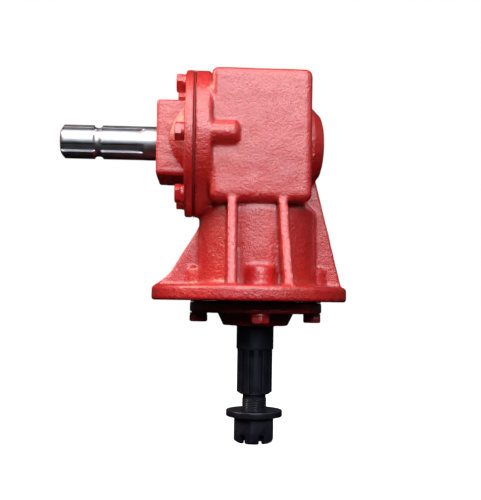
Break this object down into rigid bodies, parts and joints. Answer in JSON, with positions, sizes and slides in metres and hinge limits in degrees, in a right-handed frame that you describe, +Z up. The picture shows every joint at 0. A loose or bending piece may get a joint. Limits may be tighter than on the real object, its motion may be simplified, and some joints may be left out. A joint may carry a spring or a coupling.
{
  "type": "right angle bevel gearbox",
  "caption": "Right angle bevel gearbox: red cast housing with a round deck flange, splined input stub on its side and a splined, threaded output shaft with castle nut below.",
  "frame": {"origin": "where the output axis meets the underside of the round deck flange", "axes": "+Z up along the output axis, away from the output shaft's end; the input shaft points along -X; +Y completes the set"},
  "size_m": [0.2943, 0.199, 0.3798],
  "materials": {
    "red_paint": "semi-gloss red enamel over sand-cast iron",
    "polished_steel": "bright ground steel",
    "black_oxide": "black oxide with a film of oil",
    "bearing_steel": "ground bearing steel",
    "gear_steel": "machined, case-hardened steel",
    "seal_rubber": "nitrile rubber",
    "gasket_paper": "oil-soaked gasket paper"
  },
  "bodies": {
    "housing": {"main_housing": "red_paint", "input_cap": "red_paint", "output_cap": "red_paint", "rear_plug": "red_paint", "filler_plug": "red_paint", "level_plug": "red_paint", "drain_plug": "red_paint", "input_cap_bolt_1": "red_paint", "input_cap_bolt_2": "red_paint", "input_cap_bolt_3": "red_paint", "input_cap_bolt_4": "red_paint", "input_cap_bolt_5": "red_paint", "input_cap_bolt_6": "red_paint", "input_cap_spring_washer_1": "red_paint", "input_cap_spring_washer_2": "red_paint", "input_cap_spring_washer_3": "red_paint", "input_cap_spring_washer_4": "red_paint", "input_cap_spring_washer_5": "red_paint", "input_cap_spring_washer_6": "red_paint", "output_cap_bolt_1": "red_paint", "output_cap_bolt_2": "red_paint", "output_cap_bolt_3": "red_paint", "output_cap_bolt_4": "red_paint", "output_cap_spring_washer_1": "red_paint", "output_cap_spring_washer_2": "red_paint", "output_cap_spring_washer_3": "red_paint", "output_cap_spring_washer_4": "red_paint", "input_cap_gasket": "gasket_paper", "output_cap_gasket": "gasket_paper", "input_oil_seal": "seal_rubber", "output_oil_seal": "seal_rubber", "input_front_bearing_cup": "bearing_steel", "input_rear_bearing_cup": "bearing_steel", "output_upper_bearing_cup": "bearing_steel", "output_lower_bearing_cup": "bearing_steel"},
    "input_shaft_group": {"input_shaft": "polished_steel", "input_bevel_gear": "gear_steel", "input_gear_key": "gear_steel", "input_snap_ring": "black_oxide", "input_spacer_sleeve": "gear_steel", "input_front_bearing_cone": "bearing_steel", "input_rear_bearing_cone": "bearing_steel"},
    "output_shaft_group": {"output_shaft": "black_oxide", "output_bevel_pinion": "gear_steel", "output_pinion_key": "gear_steel", "output_pinion_lock_washer": "gear_steel", "output_pinion_nut": "gear_steel", "output_spacer_tube": "gear_steel", "output_upper_bearing_cone": "bearing_steel", "output_lower_bearing_cone": "bearing_steel", "output_washer": "black_oxide", "castle_nut": "black_oxide"},
    "input_front_rollers": {"input_front_bearing_rollers": "bearing_steel"},
    "input_rear_rollers": {"input_rear_bearing_rollers": "bearing_steel"},
    "output_upper_rollers": {"output_upper_bearing_rollers": "bearing_steel"},
    "output_lower_rollers": {"output_lower_bearing_rollers": "bearing_steel"}
  },
  "joints": [
    {"name": "input_spin", "type": "hinge", "parent": "housing", "child": "input_shaft_group", "pos_m": [0, 0, 0.161], "axis": [1, 0, 0], "continuous": true},
    {"name": "output_spin", "type": "hinge", "parent": "housing", "child": "output_shaft_group", "pos_m": [0, 0, 0], "axis": [0, 0, 1], "continuous": true},
    {"name": "input_front_rollers_spin", "type": "hinge", "parent": "housing", "child": "input_front_rollers", "pos_m": [0, 0, 0.161], "axis": [1, 0, 0], "continuous": true},
    {"name": "input_rear_rollers_spin", "type": "hinge", "parent": "housing", "child": "input_rear_rollers", "pos_m": [0, 0, 0.161], "axis": [1, 0, 0], "continuous": true},
    {"name": "output_upper_rollers_spin", "type": "hinge", "parent": "housing", "child": "output_upper_rollers", "pos_m": [0, 0, 0], "axis": [0, 0, 1], "continuous": true},
    {"name": "output_lower_rollers_spin", "type": "hinge", "parent": "housing", "child": "output_lower_rollers", "pos_m": [0, 0, 0], "axis": [0, 0, 1], "continuous": true}
  ],
  "couplings": [
    {"joint": "output_spin", "follows": "input_spin", "ratio": -1.4667},
    {"joint": "input_front_rollers_spin", "follows": "input_spin", "ratio": 0.4183},
    {"joint": "input_rear_rollers_spin", "follows": "input_spin", "ratio": 0.4136},
    {"joint": "output_upper_rollers_spin", "follows": "input_spin", "ratio": -0.61351},
    {"joint": "output_lower_rollers_spin", "follows": "input_spin", "ratio": -0.61351}
  ]
}
